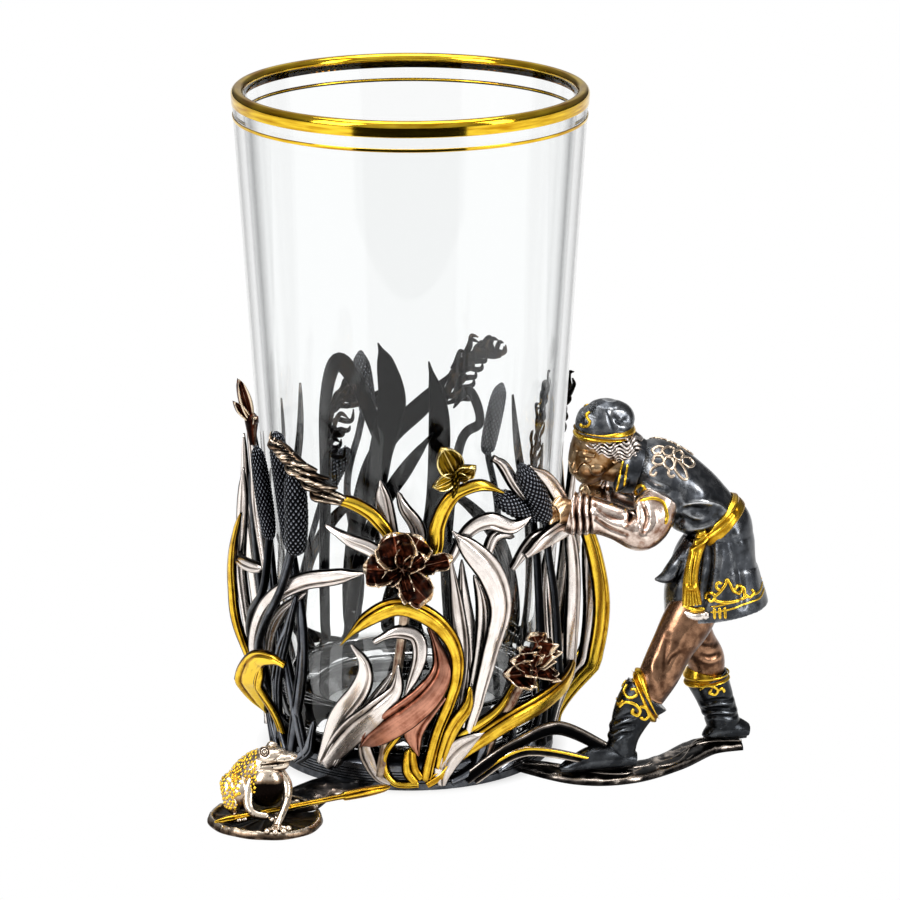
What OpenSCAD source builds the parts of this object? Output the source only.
// Tea glass in a cast openwork holder. The holder is a base ring with a wall of
// leaf blades, reeds and flowers round the glass, a bending figure as its handle
// and a frog on a lily pad in front. Lengths are in millimetres and the origin is
// on the glass axis, in the plane that the holder stands on. The front is -Y.

/* [Glass] */
// Height of the tea glass
glass_h = 134; // [120:1:150]
// Outside diameter of the glass at its rim
rim_d = 72; // [68:1:78]
// Outside diameter of the glass at its foot
foot_d = 56; // [52:1:57]
// Thickness of the glass wall
glass_wall = 2.2; // [1.6:0.1:3]
// Thickness of the solid glass floor
glass_floor = 9; // [6:0.5:12]
// Depth of the hollow under the foot
punt_depth = 1.2; // [0.8:0.1:2]
// Height of the gilt band on the rim
gilt_band_h = 3; // [2:0.25:5]
// Height of the fine gilt line
gilt_line_h = 0.7; // [0.5:0.1:1.2]
// Bare glass between the gilt band and the fine line
gilt_line_gap = 2.2; // [1.5:0.1:4]

/* [Base ring] */
// Outside diameter of the base ring where it stands on the table
base_d = 59.4; // [56:0.2:62]
// How far the base ring stands out round the foot of the glass, past its clearance
ring_w = 1.35; // [1.1:0.05:2]
// Height of the ledge that the glass stands on
seat_h = 6; // [5:0.25:8]
// Diameter of the opening in the base ring
base_hole_d = 40; // [34:1:44]
// Height of the lip that stands above the ledge
lip_h = 1.6; // [1:0.1:2.5]

/* [Leaf wall] */
// Height that the tables of leaves and reeds are shares of
foliage_h = 80; // [72:1:88]
// Widest leaf blade
leaf_w = 5.4; // [4.4:0.1:6]
// Thickness of a leaf blade
leaf_t = 1.5; // [1.2:0.1:1.8]
// How far the outermost blades stand out from the innermost
standoff = 4; // [3:0.25:5]
// Clearance between the glass and the innermost blades
glass_clearance = 0.6; // [0.4:0.1:1.2]
// Diameter of a reed mace head
mace_d = 4.6; // [3.6:0.1:5.4]
// Diameter of a reed stem
stem_d = 1.9; // [1.5:0.1:2.4]

/* [Flowers and insects] */
// Size of the large iris, from its centre to a petal's tip
iris_r = 7; // [6:0.25:8]
// Size of the small iris, from its centre to a petal's tip
small_iris_r = 6; // [5:0.25:7]
// Length of a butterfly's wing
butterfly_wing = 7; // [5:0.25:8]
// Length of a dragonfly's wing
dragonfly_wing = 9; // [7:0.25:10]

/* [Figure] */
// Height that the figure's tables are shares of
figure_h = 78; // [74:1:82]
// How far the fingertips of the figure's near hand stand off the innermost blades
figure_x = 3.77; // [2.77:0.1:4.77]
// How far in front of the glass axis the figure stands
figure_y = 12; // [10:0.5:14]

/* [Frog and pad] */
// Diameter of the lily pad
pad_d = 24; // [20:0.5:28]
// Thickness of the lily pad
pad_t = 1.4; // [1:0.1:2]
// Length of the frog, from its nose to its rump
frog_l = 17; // [14:0.5:19]
// Distance from the base ring to the middle of the lily pad
pad_reach = 24.3; // [21.3:0.5:27.3]
// Thickness of the ground strips
ground_t = 1.8; // [1.4:0.1:2.4]

/* [Hidden] */

// Rings made along each stretch between two points of a table
steps = 2;
round_sides = 10;
slim_sides = 6;
smooth_fn = 96;
cut_overrun = 1;

rim_r = rim_d / 2;
foot_r = foot_d / 2;
base_r = base_d / 2;
foot_z = seat_h;
rim_z = foot_z + glass_h;
heel_r = glass_wall;
lip_r = glass_wall / 2;
gilt_t = 0.2;
seat_clearance = 0.35;
lip_in = foot_r + seat_clearance;
ring_top_r = lip_in + ring_w;
ring_top_z = seat_h - lip_h / 2;
ring_foot_z = ring_top_z / 2;

// Outside radius of the glass at a height above the table, on its straight side, which
// runs from the round heel to the round rim
function glass_r(z) = foot_r + (rim_r - foot_r) * (z - foot_z - heel_r) / (glass_h - heel_r - lip_r);

// Outside radius of the base ring at a height. Its foot slopes to its upright side, which
// goes round the foot of the glass.
function ring_r(z) = base_r + (ring_top_r - base_r) * min(1, z / ring_foot_z);

// Radius of the middle of the innermost blades at a height. Low down they are
// soldered to the upright side of the base ring, a little sunk into it.
solder_sink = 0.3;
function wall_r(z) = max(
    z < foot_z ? 0 : glass_r(z) + glass_clearance + leaf_t / 2,
    ring_top_r + leaf_t / 2 - solder_sink
);

// A place on the leaf wall from an angle, a share of its height and a share of its standoff,
// which blades reach above the ring. Angle 0 is the front and angles grow towards the figure.
function wall_place(p) =
    let (
        z = p[1] * foliage_h,
        leaning = min(1, max(0, z - seat_h) / (2 * seat_h)),
        r = wall_r(z) + p[2] * standoff * leaning
    )
    [r * sin(p[0]), -r * cos(p[0]), z];

// Where the figure's near fingertips reach the leaf wall, which sets the figure's own
// place, the height of the leaves below its hands and the turn of the mace beside them
boot_sink = 0.25;
fingertip_share = [-0.285, -0.14, 0.69];
figure_foot_z = ground_t - boot_sink;
hand_z = figure_foot_z + fingertip_share[2] * figure_h;
hand_r = wall_r(hand_z) + figure_x;
hand_turn = acos((figure_y - fingertip_share[1] * figure_h) / hand_r);
figure_mid = hand_r * sin(hand_turn) - fingertip_share[0] * figure_h;

function unit(v) = v / max(norm(v), 1e-9);

// A smooth run through the points of a table, whatever they hold
function bend(a, b, c, d, t) =
    0.5 * (2 * b + (c - a) * t + (2 * a - 5 * b + 4 * c - d) * t * t
    + (3 * b - 3 * c + d - a) * t * t * t);
function smooth(points, n = steps) =
    let (last = len(points) - 1)
    [
        for (i = [0:last - 1], k = [0:n - 1])
            bend(points[max(i - 1, 0)], points[i], points[i + 1], points[min(i + 2, last)], k / n),
        points[last]
    ];
function along(places, i) =
    unit(places[min(i + 1, len(places) - 1)] - places[max(i - 1, 0)]);

// Joins rings of points, all of one length, into a closed solid with triangular faces
module skin(rings) {
    sides = len(rings[0]);
    count = len(rings);
    points = [for (ring = rings) each ring];
    start = len(points);
    walls = [
        for (i = [0:count - 2], j = [0:sides - 1])
            let (a = i * sides + j, b = i * sides + (j + 1) % sides)
            each [[a, b, b + sides], [a, b + sides, a + sides]]
    ];
    ends = [
        for (j = [0:sides - 1])
            let (k = (j + 1) % sides, top = (count - 1) * sides)
            each [[start, k, j], [start + 1, top + j, top + k]]
    ];
    middle = function(ring) [for (c = [0:2]) [for (p = ring) p[c]] * [for (p = ring) 1] / sides];
    polyhedron(concat(points, [middle(rings[0]), middle(rings[count - 1])]), concat(walls, ends));
}

// One ring of a leaf blade: a flat lens with its edges at both ends of its width
function blade_ring(place, tangent, outward, w, t) =
    let (
        across = unit(cross(tangent, outward)),
        out = unit(cross(across, tangent)),
        half = w / 2,
        shoulder_share = 0.55
    )
    [
        place + across * half,
        place + across * half * shoulder_share + out * t / 2,
        place - across * half * shoulder_share + out * t / 2,
        place - across * half,
        place - across * half * shoulder_share - out * t / 2,
        place + across * half * shoulder_share - out * t / 2
    ];

// A blade on the leaf wall. Each row of its table is an angle, a height share,
// a standoff share and a share of the widest leaf.
module wall_blade(table, w = leaf_w, t = leaf_t) {
    rows = smooth(table);
    places = [for (row = rows) wall_place(row)];
    skin([
        for (i = [0:len(rows) - 1])
            blade_ring(
                places[i], along(places, i), [places[i][0], places[i][1], 0],
                max(w * rows[i][3], t), t
            )
    ]);
}
module wall_blades(tables, w = leaf_w, t = leaf_t) {
    for (table = tables) wall_blade(table, w, t);
}

// A round or oval rod. Each row of its path is a place, its radius in the path's own
// plane and its radius across that plane.
module rod(path, side = [0, 1, 0], sides = round_sides) {
    places = [for (row = path) [row[0], row[1], row[2]]];
    skin([
        for (i = [0:len(path) - 1])
            let (
                t = along(places, i),
                n = unit(cross(side, t)),
                s = unit(cross(t, n)),
                ra = path[i][3],
                rb = path[i][4]
            )
            [for (j = [0:sides - 1])
                places[i] + n * ra * cos(360 * j / sides) - s * rb * sin(360 * j / sides)]
    ]);
}

// A rod on the leaf wall, with its radius as a share of d / 2
module wall_rod(table, d, sides = slim_sides) {
    rows = smooth(table);
    rod(
        [for (row = rows) let (p = wall_place(row)) [p[0], p[1], p[2], d * row[3] / 2, d * row[3] / 2]],
        [sin(table[0][0]), -cos(table[0][0]), 0], sides
    );
}

// Glass
// The profile of the glass wall, floor and hollow foot, with rounded rim and heel
module glass_profile() {
    inside_floor_r = glass_r(foot_z + glass_floor) - glass_wall;
    rim_turns = [0:30:180];
    heel_turns = [270:22.5:360];
    polygon(concat(
        [[0, foot_z + punt_depth]],
        [[foot_r - 3 * heel_r, foot_z + punt_depth], [foot_r - 2 * heel_r, foot_z]],
        [for (a = heel_turns) [foot_r - heel_r + heel_r * cos(a), foot_z + heel_r + heel_r * sin(a)]],
        [for (a = rim_turns) [rim_r - lip_r + lip_r * cos(a), rim_z - lip_r + lip_r * sin(a)]],
        [for (a = [0:-22.5:-90])
            [inside_floor_r - heel_r + heel_r * cos(a), foot_z + glass_floor + heel_r + heel_r * sin(a)]],
        [[0, foot_z + glass_floor]]
    ));
}
module glass() {
    color([0.93, 0.96, 0.97, 0.35])
        rotate_extrude($fn = smooth_fn) glass_profile();
}

// Fired gilding on the rounded rim, outside and just over the edge
module rim_gilding() {
    centre_r = rim_r - lip_r;
    centre_z = rim_z - lip_r;
    low_z = rim_z - gilt_band_h;
    turns = [0:30:180];
    color([0.93, 0.69, 0.2])
        rotate_extrude($fn = smooth_fn)
            polygon(concat(
                [[glass_r(low_z), low_z], [glass_r(low_z) + gilt_t, low_z]],
                [for (a = turns)
                    [centre_r + (lip_r + gilt_t) * cos(a), centre_z + (lip_r + gilt_t) * sin(a)]],
                [for (a = [180:-30:0]) [centre_r + lip_r * cos(a), centre_z + lip_r * sin(a)]]
            ));
}

// The fine gilt line below the band
module gilt_line() {
    high_z = rim_z - gilt_band_h - gilt_line_gap;
    low_z = high_z - gilt_line_h;
    color([0.93, 0.69, 0.2])
        rotate_extrude($fn = smooth_fn)
            polygon([
                [glass_r(low_z), low_z], [glass_r(low_z) + gilt_t, low_z],
                [glass_r(high_z) + gilt_t, high_z], [glass_r(high_z), high_z]
            ]);
}

// Base ring
// The ring that the glass stands on, with a lip round its foot and a flared skirt
module base_ring() {
    lip_out = lip_in + ring_w / 2;
    color([0.2, 0.2, 0.22])
        rotate_extrude($fn = smooth_fn)
            polygon([
                [base_hole_d / 2, 0], [base_r, 0],
                [ring_top_r, ring_foot_z], [ring_top_r, ring_top_z],
                [lip_out, seat_h], [lip_out, seat_h + lip_h],
                [lip_in, seat_h + lip_h], [lip_in, seat_h], [base_hole_d / 2, seat_h]
            ]);
}

// Leaves
// Gilt blades that rise from the front of the base ring
front_gold_shares = [
    [[6, 0.03, 0.3, 0.5], [10, 0.16, 0.5, 0.5], [16, 0.3, 0.7, 0.55], [15, 0.4, 1, 0.6],
        [8, 0.48, 1.1, 0.7], [-3, 0.52, 1.1, 0.75], [-14, 0.48, 1, 0.6], [-24, 0.4, 0.9, 0.1]],
    [[6, 0.02, 0.3, 0.45], [12, 0.045, 0.5, 0.5], [18, 0.09, 0.8, 0.6], [27, 0.135, 1, 0.75],
        [38, 0.175, 1.1, 0.85], [54, 0.205, 1.2, 0.9], [70, 0.245, 1.2, 0.8], [84, 0.305, 0.9, 0.15]],
    [[11, 0.06, 0.5, 0.4], [15, 0.17, 0.8, 0.6], [20, 0.24, 0.9, 0.5], [21, 0.29, 0.8, 0.1]],
    [[14, 0.1, 0.3, 0.35], [20, 0.15, 0.5, 0.45], [32, 0.2, 0.6, 0.4], [42, 0.27, 0.4, 0.1]],
    [[3, 0.02, 0.5, 0.35], [-6, 0.02, 0.9, 0.3], [-10, 0.06, 1, 0.3], [-9, 0.11, 0.9, 0.3],
        [-2, 0.18, 0.6, 0.15]],
    [[3, 0.03, 0.3, 0.6], [0, 0.06, 0.4, 0.7], [0, 0.12, 0.3, 0.5]]
];
module front_gold_leaves() {
    color([0.9, 0.68, 0.18]) wall_blades(front_gold_shares);
}

// Silvered blades low on the left of the front
front_silver_shares = [
    [[-38, 0.05, 0.3, 0.4], [-28, 0.18, 0.5, 0.85], [-18, 0.28, 0.7, 0.8], [-16, 0.35, 0.7, 0.5],
        [-21, 0.4, 0.6, 0.1]],
    [[-36, 0.05, 0.6, 0.7], [-23, 0.15, 0.9, 1.05], [-12, 0.23, 1.1, 0.95], [-5, 0.29, 1, 0.6],
        [-4, 0.36, 0.9, 0.1]],
    [[-31, 0.05, 0.1, 0.3], [-18, 0.2, 0.1, 0.5], [-10, 0.28, 0.1, 0.45], [-6, 0.33, 0.1, 0.1]],
    [[-13, 0.41, 0.5, 0.1], [-5, 0.44, 0.5, 0.5], [2, 0.43, 0.6, 0.6], [3, 0.37, 0.8, 0.55],
        [-2, 0.27, 1, 0.3]],
    [[-8, 0.02, 0.5, 0.3], [-13, 0.04, 0.6, 0.5], [-17, 0.09, 0.6, 0.65], [-18, 0.15, 0.6, 0.4]],
    [[12, 0.015, 0.2, 0.4], [13, 0.06, 0.4, 0.85], [19, 0.12, 1, 0.9], [28, 0.155, 0.8, 0.15]]
];
module front_silver_leaves() {
    color([0.9, 0.88, 0.85]) wall_blades(front_silver_shares);
}

// Small dark blades low on the right of the front
front_dark_shares = [
    [[16, 0.02, 0.4, 0.35], [26, 0.05, 0.5, 0.5], [29, 0.1, 0.4, 0.5], [31, 0.17, 0.3, 0.12]],
    [[29, 0.03, 0.3, 0.35], [41, 0.07, 0.4, 0.5], [44, 0.15, 0.3, 0.12]],
    [[36, 0.03, 0.3, 0.35], [54, 0.08, 0.5, 0.5], [60, 0.17, 0.4, 0.12]],
    [[-52, 0.03, 0.4, 0.35], [-44, 0.08, 0.5, 0.5], [-40, 0.16, 0.3, 0.12]]
];
module front_dark_leaves() {
    color([0.25, 0.25, 0.27]) wall_blades(front_dark_shares);
}

// The sheaf of upright silvered blades right of the front
tall_silver_shares = [
    [[12, 0.06, 0.1, 0.4], [18, 0.26, 0.2, 0.55], [19, 0.38, 0.2, 0.65], [17, 0.5, 0.2, 0.55],
        [14, 0.64, 0.2, 0.12]],
    [[16, 0.06, 0.1, 0.35], [23, 0.26, 0.1, 0.5], [23, 0.4, 0, 0.6], [20, 0.52, 0, 0.5],
        [19, 0.62, 0, 0.12]],
    [[19, 0.1, 0.2, 0.35], [26, 0.34, 0.3, 0.6], [27, 0.48, 0.3, 0.6], [23, 0.58, 0.3, 0.12]],
    [[21, 0.12, 0.5, 0.35], [28, 0.36, 0.8, 0.75], [31, 0.49, 1, 1], [27, 0.59, 1, 1.05],
        [20, 0.66, 0.8, 0.8], [14, 0.71, 0.6, 0.12]]
];
module tall_silver_blades() {
    color([0.9, 0.87, 0.84]) wall_blades(tall_silver_shares);
}

// Two coppered blades that cross the front
copper_shares = [
    [[7, 0.45, 0.3, 0.12], [11, 0.35, 0.7, 0.75], [6, 0.28, 1.1, 1.1], [-5, 0.21, 1.3, 1.2],
        [-13, 0.16, 1.3, 0.95], [-19, 0.12, 1.2, 0.15]],
    [[11, 0.27, 0.6, 0.6], [4, 0.22, 1, 0.8], [1, 0.17, 1.1, 0.8], [3, 0.1, 1, 0.12]]
];
module copper_leaves() {
    color([0.72, 0.42, 0.32]) wall_blades(copper_shares);
}

// Gilt blades over the large iris
upper_gold_shares = [
    [[2, 0.58, 0.9, 0.4], [8, 0.66, 0.8, 0.6], [9, 0.73, 0.8, 0.65], [12, 0.79, 0.9, 0.6],
        [16, 0.82, 1, 0.5], [23, 0.83, 1, 0.45], [31, 0.8, 0.9, 0.12]],
    [[-2, 0.59, 0.9, 0.3], [-6, 0.69, 0.7, 0.45], [-10, 0.74, 0.8, 0.55], [-14, 0.77, 0.9, 0.55],
        [-20, 0.79, 1, 0.5], [-28, 0.785, 1, 0.12]]
];
module upper_gold_leaves() {
    color([0.9, 0.68, 0.18]) wall_blades(upper_gold_shares);
}

// Silvered blades round and above the large iris
upper_silver_shares = [
    [[-3, 0.58, 0.8, 0.4], [-7, 0.7, 0.5, 0.75], [-9, 0.79, 0.3, 0.65], [-10, 0.84, 0.2, 0.12]],
    [[-1, 0.58, 0.8, 0.4], [3, 0.7, 0.4, 0.6], [-2, 0.77, 0.2, 0.45], [-4, 0.81, 0.2, 0.12]],
    [[-3, 0.6, 0.8, 0.3], [-12, 0.655, 0.5, 0.6], [-21, 0.68, 0.5, 0.5], [-30, 0.71, 0.4, 0.12]],
    [[14, 0.62, 0.2, 0.3], [20, 0.7, 0.4, 0.6], [27, 0.725, 0.6, 0.7], [36, 0.7, 0.7, 0.55],
        [43, 0.72, 0.8, 0.15]],
    [[25, 0.55, 0.3, 0.3], [31, 0.67, 0.1, 0.55], [40, 0.66, 0.1, 0.15]],
    [[38, 0.58, 0.4, 0.3], [45, 0.645, 0.7, 0.65], [55, 0.66, 0.8, 0.5], [62, 0.69, 0.7, 0.15]],
    [[28, 0.89, 0.5, 0.12], [32, 0.865, 0.5, 0.45], [37, 0.81, 0.5, 0.5], [43, 0.75, 0.5, 0.3]],
    [[44, 0.84, 0.3, 0.15], [52, 0.8, 0.5, 0.6], [58, 0.74, 0.8, 0.75], [62, 0.69, 1, 0.4]]
];
module upper_silver_leaves() {
    color([0.88, 0.86, 0.84]) wall_blades(upper_silver_shares);
}

// Silvered blades that sweep up the left side
left_silver_shares = [
    [[-84, 0.1, 0.2, 0.5], [-84, 0.22, 0.6, 0.5], [-72, 0.33, 0.9, 0.5], [-57, 0.46, 0.9, 0.6],
        [-40, 0.545, 0.8, 0.7], [-26, 0.578, 0.7, 0.65], [-15, 0.6, 0.7, 0.3]],
    [[-76, 0.2, 0.2, 0.4], [-68, 0.33, 0.2, 0.45], [-56, 0.43, 0.2, 0.45], [-41, 0.51, 0.2, 0.12]],
    [[-88, 0.05, 0.3, 0.4], [-93, 0.25, 0.9, 0.4], [-90, 0.43, 1.1, 0.45], [-78, 0.6, 1, 0.45],
        [-74, 0.7, 0.9, 0.45], [-72, 0.79, 0.8, 0.2]],
    [[-100, 0.06, 0.4, 0.4], [-106, 0.3, 0.8, 0.55], [-102, 0.5, 0.8, 0.55], [-94, 0.68, 0.6, 0.45],
        [-90, 0.84, 0.4, 0.1]],
    [[-57, 0.55, 0.9, 0.3], [-64, 0.7, 0.6, 0.45], [-63, 0.8, 0.6, 0.5], [-64, 0.94, 0.7, 0.3]]
];
module left_silver_leaves() {
    color([0.9, 0.87, 0.83]) wall_blades(left_silver_shares);
}

// Dark blades behind the reeds on the left
left_dark_shares = [
    [[-46, 0.05, 0, 0.4], [-54, 0.2, 0, 0.5], [-64, 0.4, 0, 0.5], [-67, 0.6, 0, 0.5], [-66, 0.8, 0, 0.12]],
    [[-56, 0.05, 0, 0.4], [-50, 0.22, 0, 0.5], [-46, 0.4, 0, 0.4], [-50, 0.62, 0, 0.4],
        [-52, 0.72, 0, 0.12]],
    [[-96, 0.05, 0.2, 0.4], [-99, 0.26, 0.3, 0.5], [-96, 0.46, 0.3, 0.5], [-86, 0.66, 0.2, 0.4],
        [-80, 0.76, 0.2, 0.12]],
    [[-68, 0.05, 0.3, 0.4], [-60, 0.26, 0.4, 0.5], [-50, 0.4, 0.5, 0.45], [-44, 0.5, 0.5, 0.12]]
];
module left_dark_leaves() {
    color([0.25, 0.25, 0.27]) wall_blades(left_dark_shares);
}

// A gilt blade on the outside of the left edge
left_gold_shares = [
    [[-84, 0.17, 0.5, 0.25], [-88, 0.32, 1.5, 0.4], [-86, 0.44, 1.6, 0.4], [-78, 0.56, 1.5, 0.35],
        [-68, 0.68, 1.3, 0.12]]
];
module left_gold_leaf() {
    color([0.9, 0.68, 0.18]) wall_blades(left_gold_shares);
}

// A broad gilt blade that folds over and hangs down at the lower left
drooping_gold_shares = [
    [[-46, 0.315, 1.3, 0.1], [-51, 0.325, 1.5, 0.4], [-58, 0.31, 1.7, 0.65], [-65, 0.25, 1.7, 0.9],
        [-71, 0.18, 1.5, 0.8], [-76, 0.11, 1.2, 0.2]],
    [[-60, 0.04, 0.2, 0.3], [-63, 0.1, 0.6, 0.3], [-63, 0.16, 1.1, 0.3], [-62, 0.22, 1.4, 0.35],
        [-57, 0.295, 1.5, 0.35]]
];
module drooping_gold_leaf() {
    color([0.86, 0.62, 0.16]) wall_blades(drooping_gold_shares);
}

// The sheaf below the figure's hands, which its tables put at this share of the wall's height
hand_height_share = 0.692;
function below_hands(tables) = [
    for (table = tables) [
        for (row = table) [row[0], row[1] * hand_z / (hand_height_share * foliage_h), row[2], row[3]]
    ]
];
right_gold_shares = [
    [[86, 0.06, 0.8, 0.4], [84, 0.2, 1.6, 0.5], [82, 0.38, 1.9, 0.55], [78, 0.54, 1.6, 0.5],
        [72, 0.66, 1.2, 0.4]],
    [[96, 0.06, 0.8, 0.35], [98, 0.24, 1.5, 0.5], [94, 0.4, 1.6, 0.45], [90, 0.52, 1.2, 0.12]]
];
module right_gold_leaves() {
    color([0.88, 0.65, 0.18]) wall_blades(below_hands(right_gold_shares));
}
right_silver_shares = [
    [[78, 0.06, 0.3, 0.4], [74, 0.2, 0.7, 0.5], [70, 0.36, 0.8, 0.6], [70, 0.52, 0.8, 0.5],
        [66, 0.66, 0.8, 0.4]],
    [[70, 0.06, 0.1, 0.3], [64, 0.26, 0.1, 0.5], [58, 0.42, 0.1, 0.5], [58, 0.56, 0.1, 0.3],
        [62, 0.63, 0.3, 0.12]],
    [[106, 0.06, 0.3, 0.4], [112, 0.3, 0.6, 0.6], [108, 0.52, 0.6, 0.55], [100, 0.7, 0.4, 0.4],
        [97, 0.8, 0.2, 0.1]],
    [[90, 0.06, 0.6, 0.35], [90, 0.2, 1.1, 0.5], [88, 0.36, 1.3, 0.6], [84, 0.5, 1.2, 0.5],
        [80, 0.6, 1, 0.15]],
    [[40, 0.62, 1, 0.2], [48, 0.65, 1.1, 0.7], [58, 0.66, 1.1, 0.85], [68, 0.64, 1, 0.3],
        [74, 0.56, 0.9, 0.12]]
];
module right_silver_leaves() {
    color([0.85, 0.8, 0.76]) wall_blades(below_hands(right_silver_shares));
}

// The blades behind the glass stand higher than those in front
back_dark_shares = [
    [[176, 0.04, 0.2, 0.5], [182, 0.25, 0.5, 0.8], [194, 0.5, 0.6, 0.9], [193, 0.65, 0.5, 1],
        [188, 0.8, 0.4, 1.2],
        [190, 0.91, 0.3, 0.8], [193, 0.975, 0.2, 0.1]],
    [[222, 0.04, 0.2, 0.5], [220, 0.34, 0.4, 0.6], [217, 0.6, 0.4, 0.65], [215, 0.82, 0.5, 0.65],
        [209, 0.93, 0.6, 0.75], [201, 0.87, 0.7, 0.7], [194, 0.74, 0.9, 0.6], [190, 0.62, 1, 0.2]],
    [[188, 0.04, 0.3, 0.5], [180, 0.26, 0.7, 0.7], [172, 0.5, 0.8, 0.8], [170, 0.76, 0.6, 0.9],
        [174, 0.92, 0.4, 0.1]],
    [[206, 0.04, 0.3, 0.5], [206, 0.3, 0.8, 0.7], [198, 0.57, 1.1, 0.8], [189, 0.7, 1.1, 0.8],
        [176, 0.8, 0.9, 0.8], [166, 0.89, 0.7, 0.12]],
    [[212, 0.05, 0.3, 0.4], [204, 0.36, 0.2, 0.6], [192, 0.54, 0, 0.6], [183, 0.63, 0, 0.6],
        [172, 0.73, 0, 0.12]],
    [[162, 0.04, 0.2, 0.4], [166, 0.4, 0.2, 0.5], [161, 0.7, 0.2, 0.4], [153, 0.77, 0.3, 0.4],
        [158, 0.85, 0.3, 0.4], [164, 0.8, 0.2, 0.15]]
];
module back_dark_leaves() {
    color([0.25, 0.25, 0.27]) wall_blades(back_dark_shares);
}
back_silver_shares = [
    [[232, 0.05, 0.2, 0.5], [240, 0.3, 0.6, 0.6], [238, 0.55, 0.6, 0.6], [230, 0.75, 0.4, 0.5],
        [228, 0.9, 0.3, 0.1]],
    [[246, 0.05, 0.3, 0.5], [252, 0.28, 0.8, 0.6], [250, 0.5, 0.7, 0.6], [243, 0.7, 0.4, 0.4],
        [242, 0.88, 0.3, 0.1]],
    [[128, 0.05, 0.2, 0.5], [122, 0.3, 0.6, 0.6], [126, 0.52, 0.7, 0.6], [134, 0.7, 0.5, 0.5],
        [138, 0.86, 0.3, 0.1]],
    [[140, 0.05, 0.4, 0.45], [134, 0.24, 1, 0.65], [144, 0.42, 1.2, 0.75], [158, 0.52, 1.1, 0.5],
        [168, 0.56, 1, 0.12]],
    [[160, 0.05, 0.8, 0.4], [150, 0.14, 1.2, 0.7], [134, 0.18, 1.3, 0.85], [118, 0.24, 1, 0.6],
        [112, 0.32, 0.7, 0.12]],
    [[204, 0.05, 0.8, 0.4], [216, 0.14, 1.2, 0.7], [232, 0.2, 1.3, 0.8], [246, 0.3, 1.1, 0.5],
        [250, 0.38, 0.9, 0.12]]
];
module back_silver_leaves() {
    color([0.86, 0.84, 0.82]) wall_blades(back_silver_shares);
}
back_gold_shares = [
    [[118, 0.05, 0.4, 0.4], [112, 0.26, 1, 0.5], [114, 0.46, 1.2, 0.55], [118, 0.64, 0.9, 0.45],
        [116, 0.76, 0.5, 0.1]],
    [[182, 0.05, 0.9, 0.4], [190, 0.16, 1.4, 0.6], [186, 0.3, 1.6, 0.65], [174, 0.4, 1.5, 0.5],
        [162, 0.42, 1.2, 0.12]],
    [[222, 0.05, 0.8, 0.35], [230, 0.2, 1.2, 0.5], [224, 0.38, 1.3, 0.6], [210, 0.5, 1.2, 0.5],
        [200, 0.54, 1, 0.12]]
];
module back_gold_leaves() {
    color([0.88, 0.65, 0.18]) wall_blades(back_gold_shares);
}

// Reeds
// Reed maces: stems up the wall with a head on each end. Heads run past the stems' ends.
module reed_maces(stems, heads) {
    for (stem = stems) wall_rod(stem, stem_d);
    for (head = heads) wall_rod(head, mace_d, round_sides);
}
left_mace_stem_shares = [
    [[-72, 0.04, 0, 1], [-84, 0.16, 0.3, 1], [-87, 0.285, 0.8, 1], [-75, 0.39, 0.9, 0.9],
        [-60, 0.49, 0.9, 0.9], [-53, 0.66, 0.9, 0.8]],
    [[-66, 0.04, 0, 1], [-80, 0.14, 0.1, 1], [-86, 0.25, 0.5, 1], [-72, 0.36, 0.6, 0.9],
        [-55, 0.47, 0.6, 0.9], [-44, 0.65, 0.5, 0.8]],
    [[-58, 0.04, 0, 1], [-70, 0.16, 0.2, 1], [-72, 0.28, 0.7, 1], [-60, 0.385, 1.1, 0.9],
        [-46, 0.52, 1.3, 0.9], [-38, 0.67, 1.3, 0.8]]
];
left_mace_head_shares = [
    [[-54, 0.64, 0.9, 0.25], [-53.5, 0.66, 0.9, 0.6], [-55, 0.75, 0.9, 0.75], [-57, 0.85, 0.9, 0.6],
        [-58, 0.88, 0.9, 0.1]],
    [[-45, 0.63, 0.5, 0.3], [-45, 0.65, 0.5, 0.75], [-47, 0.77, 0.5, 0.8], [-49, 0.9, 0.5, 0.7],
        [-49.5, 0.93, 0.5, 0.1]],
    [[-38, 0.63, 1.3, 0.35], [-38, 0.65, 1.3, 0.9], [-37, 0.74, 1.3, 1], [-37, 0.83, 1.3, 0.85],
        [-37, 0.86, 1.3, 0.15]]
];
module left_reed_mace() {
    color([0.2, 0.2, 0.22])
        reed_maces(left_mace_stem_shares, left_mace_head_shares);
}
right_mace_stem_shares = [
    [[70, 0.05, 0.9, 1], [62, 0.28, 1, 1], [56, 0.48, 1, 0.9], [52, 0.6, 0.9, 0.8], [49, 0.71, 0.9, 0.8]],
    [[64, 0.05, 0.5, 1], [56, 0.3, 0.5, 1], [53, 0.5, 0.3, 0.9], [50, 0.62, 0.3, 0.8], [47, 0.71, 0.3, 0.8]]
];
right_mace_head_shares = [
    [[49, 0.695, 0.95, 0.3], [48, 0.715, 0.95, 0.8], [44, 0.775, 0.95, 1], [39, 0.835, 0.95, 0.85],
        [36.5, 0.87, 0.95, 0.15]],
    [[49, 0.695, 0.35, 0.3], [47, 0.71, 0.35, 0.8], [39, 0.745, 0.35, 0.95], [33, 0.775, 0.35, 0.85],
        [30, 0.79, 0.35, 0.15]]
];
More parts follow.
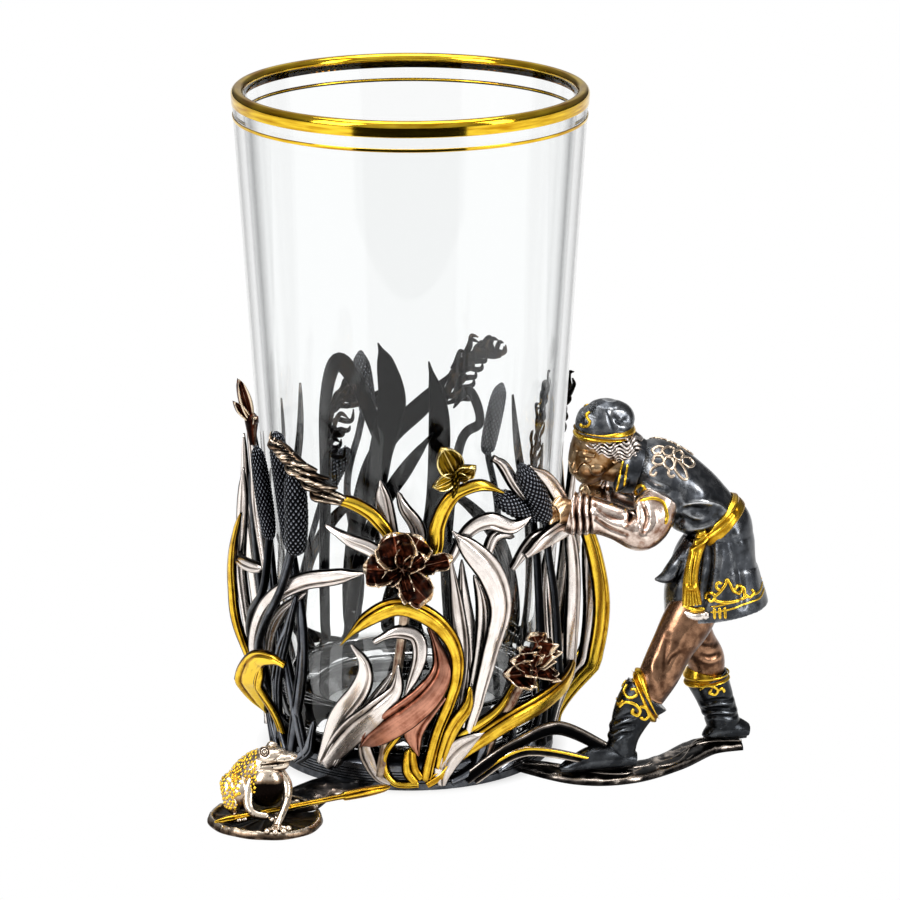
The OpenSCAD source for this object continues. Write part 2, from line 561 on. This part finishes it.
// Their tables put the figure's near hand at this angle
near_hand_turn = 50.47;
module right_reed_mace() {
    color([0.2, 0.2, 0.22]) rotate([0, 0, hand_turn - near_hand_turn])
        reed_maces(right_mace_stem_shares, right_mace_head_shares);
}
back_mace_stem_shares = [
    [[208, 0.05, 1.1, 1], [200, 0.3, 1.4, 1], [204, 0.56, 1.5, 0.9], [199, 0.72, 1.4, 0.8],
        [197, 0.8, 1.2, 0.8]],
    [[156, 0.05, 1.4, 1], [150, 0.26, 1.8, 1], [148, 0.5, 1.6, 0.9], [152, 0.66, 1.3, 0.8],
        [152, 0.7, 1.2, 0.8]],
    [[238, 0.06, 1.2, 1], [232, 0.26, 1.7, 1], [222, 0.42, 1.6, 0.9], [214, 0.56, 1.4, 0.8]]
];
back_mace_head_shares = [
    [[196, 0.76, 1.2, 0.3], [196, 0.78, 1.2, 0.85], [197, 0.85, 1.2, 1], [198, 0.91, 1.2, 0.9],
        [198, 0.945, 1.2, 0.15]],
    [[152, 0.67, 1.2, 0.3], [152, 0.69, 1.2, 0.8], [150, 0.77, 1.2, 0.95], [148, 0.84, 1.2, 0.8],
        [147, 0.87, 1.2, 0.15]],
    [[215, 0.54, 1.4, 0.3], [214, 0.56, 1.4, 0.85], [209, 0.62, 1.4, 1], [205, 0.66, 1.4, 0.85],
        [203, 0.68, 1.4, 0.15]]
];
module back_reed_mace() {
    color([0.2, 0.2, 0.22])
        reed_maces(back_mace_stem_shares, back_mace_head_shares);
}

// A reed plume: a spray of thin pointed strands that leave one stalk together
module plume(spine, spread, strands, strand_w) {
    rows = smooth(spine);
    tip = len(rows) - 1;
    wall_blade(spine, leaf_w);
    for (k = [0:strands - 1]) {
        share = k / (strands - 1);
        root = rows[floor(share * tip * 0.75)];
        fan = (k % 2 == 0 ? 1 : -1) * spread;
        way = rows[tip] - root;
        wall_blade([
            root,
            root + [way[0] * 0.45, way[1] * 0.4 + fan * 0.6, 0.15, 0],
            root + [way[0] * 0.8, way[1] * 0.7 + fan, 0.1, -root[3] * 0.7]
        ], strand_w);
    }
}
front_plume_shares = [
    [-21, 0.79, 1.15, 0.4], [-27, 0.84, 1.4, 0.6], [-33, 0.885, 1.6, 0.6], [-42, 0.93, 1.4, 0.2]
];
module front_reed_plume() {
    color([0.62, 0.55, 0.47]) plume(front_plume_shares, 0.05, 8, leaf_w * 0.65);
}
back_plume_shares = [
    [[218, 0.68, 0.2, 0.4], [211, 0.81, 0.6, 0.8], [203, 0.82, 1.2, 0.9], [191, 0.76, 1.4, 0.25]],
    [[169, 0.8, 0.9, 0.4], [164, 0.89, 1, 0.8], [158, 0.935, 1.2, 0.95], [148, 0.94, 1.2, 0.25]],
    [[128, 0.56, 0.9, 0.4], [127, 0.72, 1.2, 0.7], [124, 0.84, 1.3, 0.8], [117, 0.9, 1.2, 0.25]]
];
module back_reed_plumes() {
    color([0.5, 0.46, 0.42])
        for (spine = back_plume_shares) plume(spine, 0.035, 4, leaf_w * 0.6);
}

// Flowers and insects
// One petal in a flower's own frame: it leaves the middle, rises and curls over. A row
// is a share of its length, shares of its rise and its curl, and a share of its width.
petal_shares = [
    [0.06, 0, 0, 0.3], [0.35, 1, 0, 0.85], [0.7, 1.1, 0, 1], [0.95, 1, 1, 0.75], [1.04, 1, 2, 0.25]
];
module petal(length_r, w, rise, curl) {
    rows = smooth(petal_shares);
    places = [for (row = rows) [row[0] * length_r, 0, (row[1] * rise - row[2] * curl) * length_r]];
    skin([
        for (i = [0:len(rows) - 1])
            blade_ring(places[i], along(places, i), [0, 0, 1], max(w * rows[i][3], leaf_t), leaf_t * 0.8)
    ]);
}

// An iris: standing petals, falling petals and a middle, facing along +Z
iris_middle_shares = [
    [0, 0, -0.16, 0.12, 0.12], [0, 0, 0, 0.26, 0.26], [0, 0, 0.25, 0.24, 0.24], [0, 0, 0.42, 0.1, 0.1]
];
module iris(r, fall_turns, standard_turns) {
    for (a = fall_turns) rotate([0, 0, a]) petal(r, r * 0.72, 0.12, 0.16);
    for (a = standard_turns) rotate([0, 0, a]) petal(r * 0.78, r * 0.62, 0.42, 0.1);
    rod(iris_middle_shares * r);
}

// Sets children on the leaf wall, with their +Z outwards and their +X along the wall
module on_wall(p, turn = 0, lean = 0) {
    translate(wall_place(p)) rotate([0, 0, p[0]]) rotate([90 + lean, 0, 0]) rotate([0, 0, turn]) children();
}
large_iris_share = [-2, 0.63, 1.6];
large_fall_turns = [12, 180, 308];
large_standard_turns = [62, 105, 255];
flower_lean = -12;
large_iris_stem_shares = [
    [-12, 0.04, 0, 1.1], [-6, 0.28, 0.1, 1.1], [-2, 0.48, 0.3, 1.1], [-2, 0.58, 0.9, 1.1],
    [-2, 0.63, 1.6, 0.8]
];
module large_iris() {
    color([0.33, 0.2, 0.15]) {
        on_wall(large_iris_share, 0, flower_lean) iris(iris_r, large_fall_turns, large_standard_turns);
        wall_rod(large_iris_stem_shares, stem_d);
    }
}
small_iris_share = [42, 0.31, 1.5];
small_fall_turns = [8, 168];
small_standard_turns = [60, 88, 122];
small_iris_stem_shares = [[30, 0.04, 0, 1], [34, 0.14, 0.3, 1], [39, 0.24, 0.9, 1], [42, 0.31, 1.5, 0.7]];
module small_iris() {
    color([0.33, 0.2, 0.15]) {
        on_wall(small_iris_share, 0, flower_lean)
            iris(small_iris_r, small_fall_turns, small_standard_turns);
        wall_rod(small_iris_stem_shares, stem_d);
    }
}

// One flat wing in its own plane, from its root outwards along +X. A row is a share
// of its length, a share of its droop and a share of its breadth.
wing_shares = [[0.02, 0, 0.25], [0.3, 0, 0.7], [0.65, 1, 1], [0.92, 1, 0.7], [1, 1, 0.2]];
module wing(length_w, broad, droop) {
    rows = smooth(wing_shares);
    places = [for (row = rows) [row[0] * length_w, row[1] * droop * length_w, 0]];
    skin([
        for (i = [0:len(rows) - 1])
            blade_ring(places[i], along(places, i), [0, 0, 1], length_w * broad * rows[i][2], leaf_t * 0.6)
    ]);
}
butterfly_share = [14.5, 0.86, 1];
butterfly_body_shares = [
    [-0.1, -0.62, 0, 0.065, 0.065], [-0.03, -0.1, 0, 0.107, 0.107], [0.1, 0.36, 0, 0.086, 0.086]
];
module butterfly() {
    color([0.75, 0.6, 0.2]) on_wall(butterfly_share) {
        rotate([0, -20, 118]) wing(butterfly_wing * 1.15, 0.72, 0);
        rotate([0, -50, 48]) wing(butterfly_wing * 0.85, 0.6, 0);
        rotate([0, -20, 196]) wing(butterfly_wing * 0.8, 0.62, 0);
        rotate([0, -60, 20]) wing(butterfly_wing * 0.55, 0.6, 0);
        rod(butterfly_body_shares * butterfly_wing);
    }
}
dragonfly_share = [-62, 0.93, 0.7];
dragonfly_body_shares = [
    [-0.02, 0.22, 0, 0.083, 0.083], [0, 0.08, 0, 0.158, 0.158], [0, -0.1, 0, 0.133, 0.133],
    [0.04, -0.5, 0, 0.067, 0.067]
];
module dragonfly() {
    color([0.35, 0.3, 0.25]) on_wall(dragonfly_share) {
        rotate([90, -16, 90]) wing(dragonfly_wing * 1.1, 0.28, 0);
        rotate([90, -38, 90]) wing(dragonfly_wing * 0.7, 0.3, 0);
        rotate([0, -15, 30]) wing(dragonfly_wing * 0.5, 0.36, 0);
        rod(dragonfly_body_shares * dragonfly_wing);
    }
}

// Ground, pad and frog
pad_turn = -32;
pad_r = base_r + pad_reach;
pad_x = pad_r * sin(pad_turn);
pad_y = -pad_r * cos(pad_turn);

// A lily pad that lies on the table, with its notch towards the figure's side
pad_notch_shares = [[0.35, 0], [0.7, 0.12], [0.7, -0.12]];
module lily_pad() {
    color([0.24, 0.23, 0.22])
        translate([pad_x, pad_y, 0]) difference() {
            cylinder(d = pad_d, h = pad_t, $fn = smooth_fn);
            rotate([0, 0, 20]) translate([0, 0, -cut_overrun])
                linear_extrude(pad_t + 2 * cut_overrun)
                    polygon(pad_notch_shares * pad_d);
        }
}

// A strip that lies on the table. Its rows are a place and a width; it is flat underneath.
module strip(table, t) {
    rows = smooth(table);
    places = [for (row = rows) [row[0], row[1], t / 2]];
    skin([
        for (i = [0:len(rows) - 1])
            let (
                p = places[i],
                side = unit(cross(along(places, i), [0, 0, 1])) * rows[i][2] / 2,
                top_share = 0.8,
                up = [0, 0, t / 2]
            )
            [p + side - up, p + side * top_share + up, p - side * top_share + up, p - side - up]
    ]);
}
// The ground that joins the lily pad to the base ring
module pad_bridge() {
    inner = base_r - pad_t;
    middle = (inner + pad_r - pad_d / 2) / 2;
    outer = pad_r - pad_d * 0.42;
    color([0.2, 0.2, 0.21])
        strip([
            [inner * sin(pad_turn + 8), -inner * cos(pad_turn + 8), pad_d * 0.5],
            [middle * sin(pad_turn), -middle * cos(pad_turn), pad_d * 0.4],
            [outer * sin(pad_turn), -outer * cos(pad_turn), pad_d * 0.45]
        ], pad_t);
}

// A frog that sits on the pad with its head up and turned to the glass
function frog_place(p) = [
    pad_x + p[0] * frog_l, pad_y + p[1] * frog_l, pad_t + p[2] * frog_l,
    p[3] * frog_l, p[4] * frog_l
];
module frog_limb(table, sides = slim_sides) {
    rod([for (row = smooth(table)) frog_place(row)], [0.4, 1, 0.2], sides);
}
frog_body_shares = [
    [-0.36, 0.28, 0.2, 0.05, 0.05], [-0.32, 0.25, 0.22, 0.2, 0.17], [-0.14, 0.2, 0.38, 0.3, 0.26],
    [0.04, 0.14, 0.56, 0.26, 0.2], [0.2, 0.08, 0.66, 0.2, 0.15], [0.33, 0.03, 0.68, 0.08, 0.06]
];
frog_thigh_shares = [
    [-0.34, 0.26, 0.2, 0.1, 0.1], [-0.42, 0.08, 0.34, 0.14, 0.14], [-0.4, -0.06, 0.3, 0.1, 0.1],
    [-0.34, 0, 0.12, 0.07, 0.07],
    [-0.3, -0.14, 0.05, 0.06, 0.05]
];
frog_far_thigh_shares = [
    [-0.1, 0.34, 0.2, 0.1, 0.1], [0.1, 0.4, 0.26, 0.13, 0.13], [0.2, 0.34, 0.14, 0.08, 0.08],
    [0.24, 0.26, 0.05, 0.06, 0.05]
];
frog_arm_shares = [
    [[-0.1, 0.04, 0.42, 0.12, 0.12], [-0.2, -0.12, 0.26, 0.09, 0.09],
        [-0.16, -0.26, 0.08, 0.06, 0.06], [0.02, -0.3, 0.05, 0.07, 0.05]],
    [[0.18, 0.06, 0.44, 0.11, 0.11], [0.27, -0.12, 0.3, 0.08, 0.08], [0.2, -0.4, 0.14, 0.06, 0.06],
        [0.15, -0.58, 0.04, 0.1, 0.04]]
];
frog_eye_shares = [
    [[0.09, -0.01, 0.68, 0.06, 0.06], [0.085, -0.03, 0.76, 0.065, 0.065], [0.08, -0.04, 0.82, 0.02, 0.02]],
    [[0.17, 0.14, 0.68, 0.06, 0.06], [0.175, 0.16, 0.76, 0.065, 0.065], [0.18, 0.17, 0.82, 0.02, 0.02]]
];
module frog_body() {
    color([0.72, 0.66, 0.55]) {
        frog_limb(frog_body_shares, round_sides);
        for (table = frog_eye_shares) frog_limb(table);
    }
}
module frog_limbs() {
    color([0.76, 0.7, 0.58]) {
        frog_limb(frog_thigh_shares);
        frog_limb(frog_far_thigh_shares);
        for (table = frog_arm_shares) frog_limb(table);
    }
}

// A cut reed that lies on the pad under the frog's hand
reed_d = 1.5;
module reed_stalk() {
    from = [pad_x - pad_d * 0.42, pad_y - pad_d * 0.31, pad_t + reed_d * 0.75];
    to = [pad_x + pad_d * 1.02, pad_y + pad_d * 0.43, pad_t + reed_d * 1.1];
    function at(share, r) = concat(from + (to - from) * share, [r, r]);
    color([0.85, 0.63, 0.2])
        rod([
            at(0, reed_d * 0.12), at(0.1, reed_d * 0.9), at(0.13, reed_d * 0.4), at(0.4, reed_d * 0.4),
            at(0.41, reed_d * 0.5), at(0.43, reed_d * 0.4), at(0.72, reed_d * 0.4), at(0.75, reed_d * 0.85),
            at(0.96, reed_d * 0.75), at(1, reed_d * 0.12)
        ], [0, 0, 1], slim_sides);
}

// The figure
// A place in the figure's own frame, from shares of its height. Its frame has its
// origin on the table below its middle, +X away from the glass and +Y to the back.
function figure_place(p) = [
    figure_mid + p[0] * figure_h, -figure_y + p[1] * figure_h, figure_foot_z + p[2] * figure_h,
    p[3] * figure_h, p[4] * figure_h
];
module figure_rod(table, n = steps) {
    rod([for (row = smooth(table, n)) figure_place(row)]);
}
// The face is turned down and towards the glass
head_shares = [
    [-0.134, 0, 0.9, 0.04, 0.04], [-0.138, 0, 0.878, 0.07, 0.064], [-0.152, 0, 0.845, 0.074, 0.062],
    [-0.168, 0, 0.805, 0.064, 0.054], [-0.168, 0, 0.775, 0.045, 0.04], [-0.162, 0, 0.757, 0.018, 0.018]
];
neck_shares = [[-0.145, 0, 0.81, 0.045, 0.045], [-0.1, 0, 0.8, 0.046, 0.046], [-0.05, 0, 0.8, 0.05, 0.05]];
module head() {
    color([0.62, 0.5, 0.34]) {
        figure_rod(head_shares);
        figure_rod(neck_shares, n = 1);
    }
}
hair_shares = [
    [-0.195, 0, 0.874, 0.012, 0.03], [-0.175, 0, 0.87, 0.03, 0.06], [-0.12, 0, 0.862, 0.042, 0.074],
    [-0.065, 0, 0.85, 0.04, 0.07], [-0.03, 0, 0.835, 0.015, 0.03]
];
module hair() {
    color([0.25, 0.22, 0.2]) figure_rod(hair_shares);
}
cap_shares = [
    [-0.136, 0, 0.893, 0.077, 0.072], [-0.134, 0, 0.915, 0.077, 0.07], [-0.128, 0, 0.94, 0.067, 0.06],
    [-0.126, 0, 0.964, 0.045, 0.042], [-0.124, 0, 0.978, 0.018, 0.016]
];
module cap() {
    color([0.2, 0.21, 0.23]) figure_rod(cap_shares);
}
cap_band_shares = [
    [-0.137, 0, 0.883, 0.072, 0.07], [-0.137, 0, 0.887, 0.082, 0.078],
    [-0.136, 0, 0.901, 0.082, 0.078], [-0.136, 0, 0.905, 0.074, 0.07]
];
module cap_band() {
    color([0.9, 0.72, 0.3]) figure_rod(cap_band_shares, n = 1);
}
coat_body_shares = [
    [-0.055, 0, 0.812, 0.055, 0.06], [-0.02, 0, 0.797, 0.078, 0.1], [0.03, 0, 0.765, 0.086, 0.118],
    [0.086, 0, 0.716, 0.088, 0.11], [0.13, 0, 0.675, 0.083, 0.095], [0.152, 0, 0.655, 0.078, 0.086]
];
module coat_body() {
    color([0.3, 0.32, 0.35]) figure_rod(coat_body_shares);
}
coat_collar_shares = [
    [-0.045, 0, 0.797, 0.072, 0.08], [-0.075, 0, 0.806, 0.078, 0.078], [-0.095, 0, 0.81, 0.062, 0.064]
];
module coat_collar() {
    color([0.22, 0.23, 0.25]) figure_rod(coat_collar_shares, n = 1);
}
sash_shares = [
    [0.148, 0, 0.662, 0.078, 0.086], [0.152, 0, 0.658, 0.086, 0.094],
    [0.172, 0, 0.637, 0.086, 0.094], [0.176, 0, 0.633, 0.078, 0.086]
];
sash_end_shares = [
    [0.12, -0.084, 0.63, 0.018, 0.016], [0.1, -0.108, 0.59, 0.018, 0.014],
    [0.088, -0.124, 0.53, 0.02, 0.014], [0.092, -0.132, 0.46, 0.027, 0.016]
];
module sash() {
    color([0.88, 0.68, 0.24]) {
        figure_rod(sash_shares, n = 1);
        figure_rod(sash_end_shares);
    }
}
coat_skirt_shares = [
    [0.166, 0, 0.642, 0.074, 0.084], [0.172, 0, 0.6, 0.09, 0.094], [0.158, 0, 0.54, 0.112, 0.106],
    [0.156, 0, 0.47, 0.13, 0.118], [0.164, 0, 0.41, 0.138, 0.126]
];
module coat_skirt() {
    color([0.32, 0.34, 0.37]) figure_rod(coat_skirt_shares);
}
near_sleeve_shares = [
    [0.01, -0.085, 0.74, 0.05, 0.045], [-0.01, -0.1, 0.705, 0.058, 0.05],
    [-0.024, -0.11, 0.672, 0.055, 0.05], [-0.05, -0.115, 0.655, 0.05, 0.047],
    [-0.1, -0.112, 0.677, 0.046, 0.045], [-0.15, -0.104, 0.692, 0.047, 0.045],
    [-0.205, -0.095, 0.698, 0.057, 0.052], [-0.225, -0.092, 0.702, 0.056, 0.05]
];
far_sleeve_shares = [
    [0.01, 0.085, 0.735, 0.05, 0.045], [-0.01, 0.1, 0.705, 0.058, 0.05], [-0.03, 0.11, 0.67, 0.054, 0.05],
    [-0.06, 0.105, 0.66, 0.048, 0.046], [-0.12, 0.075, 0.69, 0.046, 0.043],
    [-0.155, 0.052, 0.7, 0.05, 0.046]
];
module near_sleeve() {
    color([0.82, 0.72, 0.66]) figure_rod(near_sleeve_shares);
}
module far_sleeve() {
    color([0.82, 0.72, 0.66]) figure_rod(far_sleeve_shares);
}
near_hand_shares = [
    [-0.215, -0.092, 0.7, 0.03, 0.026], [-0.245, -0.1, 0.706, 0.034, 0.028],
    [-0.27, -0.12, 0.702, 0.03, 0.026], concat(fingertip_share, [0.018, 0.016])
];
far_hand_shares = [
    [-0.145, 0.055, 0.698, 0.03, 0.026], [-0.17, 0.045, 0.71, 0.034, 0.028],
    [-0.185, 0.034, 0.71, 0.028, 0.026], [-0.195, 0.03, 0.695, 0.016, 0.014]
];
module near_hand() {
    color([0.6, 0.48, 0.34]) figure_rod(near_hand_shares);
}
module far_hand() {
    color([0.6, 0.48, 0.34]) figure_rod(far_hand_shares);
}
near_leg_shares = [
    [0.13, -0.045, 0.5, 0.075, 0.065], [0.09, -0.058, 0.4, 0.066, 0.06], [0.045, -0.08, 0.325, 0.057, 0.051],
    [0.01, -0.098, 0.255, 0.053, 0.047], [-0.02, -0.108, 0.2, 0.045, 0.042]
];
far_leg_shares = [
    [0.07, 0.03, 0.47, 0.066, 0.06], [0.088, 0.045, 0.38, 0.058, 0.054],
    [0.114, 0.062, 0.3, 0.052, 0.049], [0.143, 0.08, 0.24, 0.051, 0.047],
    [0.148, 0.09, 0.19, 0.046, 0.042]
];
module near_leg() {
    color([0.5, 0.38, 0.27]) figure_rod(near_leg_shares);
}
module far_leg() {
    color([0.5, 0.38, 0.27]) figure_rod(far_leg_shares);
}
// A boot is a shaft and a foot, which cross at the heel
module boot(shaft, foot) {
    figure_rod(shaft);
    figure_rod(foot);
}
near_boot_shaft_shares = [
    [-0.02, -0.107, 0.206, 0.068, 0.048], [-0.05, -0.112, 0.17, 0.056, 0.046],
    [-0.08, -0.12, 0.1, 0.042, 0.037], [-0.09, -0.124, 0.04, 0.038, 0.035]
];
near_boot_foot_shares = [
    [-0.05, -0.12, 0.026, 0.022, 0.026], [-0.09, -0.126, 0.034, 0.034, 0.036],
    [-0.16, -0.14, 0.036, 0.036, 0.038],
    [-0.225, -0.152, 0.02, 0.018, 0.026], [-0.25, -0.157, 0.012, 0.008, 0.01]
];
far_boot_shaft_shares = [
    [0.148, 0.088, 0.185, 0.057, 0.05], [0.17, 0.092, 0.13, 0.05, 0.044],
    [0.19, 0.097, 0.07, 0.046, 0.04], [0.2, 0.1, 0.03, 0.044, 0.036]
];
far_boot_foot_shares = [
    [0.262, 0.112, 0.022, 0.02, 0.026], [0.225, 0.104, 0.032, 0.032, 0.036],
    [0.185, 0.096, 0.032, 0.032, 0.036],
    [0.155, 0.089, 0.018, 0.018, 0.026], [0.142, 0.086, 0.01, 0.008, 0.01]
];
module near_boot() {
    color([0.2, 0.21, 0.22]) boot(near_boot_shaft_shares, near_boot_foot_shares);
}
module far_boot() {
    color([0.2, 0.21, 0.22]) boot(far_boot_shaft_shares, far_boot_foot_shares);
}
// The turned edges of the boots: the near one slopes down behind the knee
boot_cuff_shares = [
    [[-0.036, -0.107, 0.197, 0.066, 0.046], [-0.031, -0.107, 0.199, 0.078, 0.055],
        [-0.017, -0.107, 0.206, 0.078, 0.055], [-0.012, -0.107, 0.208, 0.066, 0.046]],
    [[0.147, 0.087, 0.2, 0.05, 0.045], [0.147, 0.087, 0.196, 0.063, 0.056],
        [0.149, 0.088, 0.176, 0.063, 0.056], [0.15, 0.088, 0.17, 0.05, 0.045]]
];
module boot_cuffs() {
    color([0.88, 0.68, 0.24]) for (table = boot_cuff_shares) figure_rod(table, n = 1);
}

// The ground under the boots, which carries the figure's foot of the handle
module ground_strip() {
    inner = base_r - ground_t;
    function spot(p, w) = [figure_mid + p[0] * figure_h, -figure_y + p[1] * figure_h, w];
    color([0.22, 0.22, 0.23])
        strip([
            [inner * sin(54), -inner * cos(54), figure_h * 0.06], spot([-0.2, -0.13], figure_h * 0.11),
            spot([-0.08, -0.12], figure_h * 0.12), spot([0.04, -0.04], figure_h * 0.1),
            spot([0.14, 0.08], figure_h * 0.1), spot([0.24, 0.11], figure_h * 0.08)
        ], ground_t);
}

// Two arched roots that tie the front of the base ring to the figure's near boot
high_root_turns = [22, 56.1];
low_root_turn = 26;
module root_arches() {
    arch_r = max(ring_r(seat_h * 0.3), ring_top_r);
    function at_base(a, h) = [arch_r * sin(a), -arch_r * cos(a), h];
    near_foot = figure_place(near_boot_foot_shares[2]);
    near_foot_mid = [for (i = [0:2]) near_foot[i]];
    arch_d = stem_d * 1.3;
    rise = seat_h * 1.7;
    start = at_base(high_root_turns[0], seat_h * 0.3);
    high_r = wall_r(rise) + standoff + arch_d * 0.82;
    high = [high_r * sin(high_root_turns[1]), -high_r * cos(high_root_turns[1]), rise];
    low_start = at_base(low_root_turn, seat_h * 0.2);
    low_high = [near_foot_mid[0] * 0.62, near_foot_mid[1] * 1.18, rise * 0.6];
    function row(p, r) = [p[0], p[1], p[2], r, r];
    color([0.25, 0.24, 0.24]) {
        rod(smooth([
            row(start, arch_d / 2), row((start + high) / 2 + [0, -arch_d, arch_d], arch_d / 2),
            row(high, arch_d * 0.6), row(near_foot_mid + [arch_d, 0, arch_d], arch_d / 2)
        ]), [0, 0, 1], slim_sides);
        rod(smooth([
            row(low_start, arch_d * 0.35), row(low_high + [0, 0, arch_d * 0.6], arch_d * 0.4),
            row([near_foot_mid[0], near_foot_mid[1] * 1.06, near_foot_mid[2]], arch_d * 0.35)
        ]), [0, 0, 1], slim_sides);
    }
}

glass();
rim_gilding();
gilt_line();
base_ring();
front_gold_leaves();
front_silver_leaves();
front_dark_leaves();
tall_silver_blades();
copper_leaves();
upper_gold_leaves();
upper_silver_leaves();
left_silver_leaves();
left_dark_leaves();
left_gold_leaf();
drooping_gold_leaf();
right_gold_leaves();
right_silver_leaves();
back_dark_leaves();
back_silver_leaves();
back_gold_leaves();
left_reed_mace();
right_reed_mace();
back_reed_mace();
front_reed_plume();
back_reed_plumes();
large_iris();
small_iris();
butterfly();
dragonfly();
lily_pad();
pad_bridge();
frog_body();
frog_limbs();
reed_stalk();
ground_strip();
root_arches();
head();
hair();
cap();
cap_band();
coat_body();
coat_collar();
sash();
coat_skirt();
near_sleeve();
far_sleeve();
near_hand();
far_hand();
near_leg();
far_leg();
near_boot();
far_boot();
boot_cuffs();
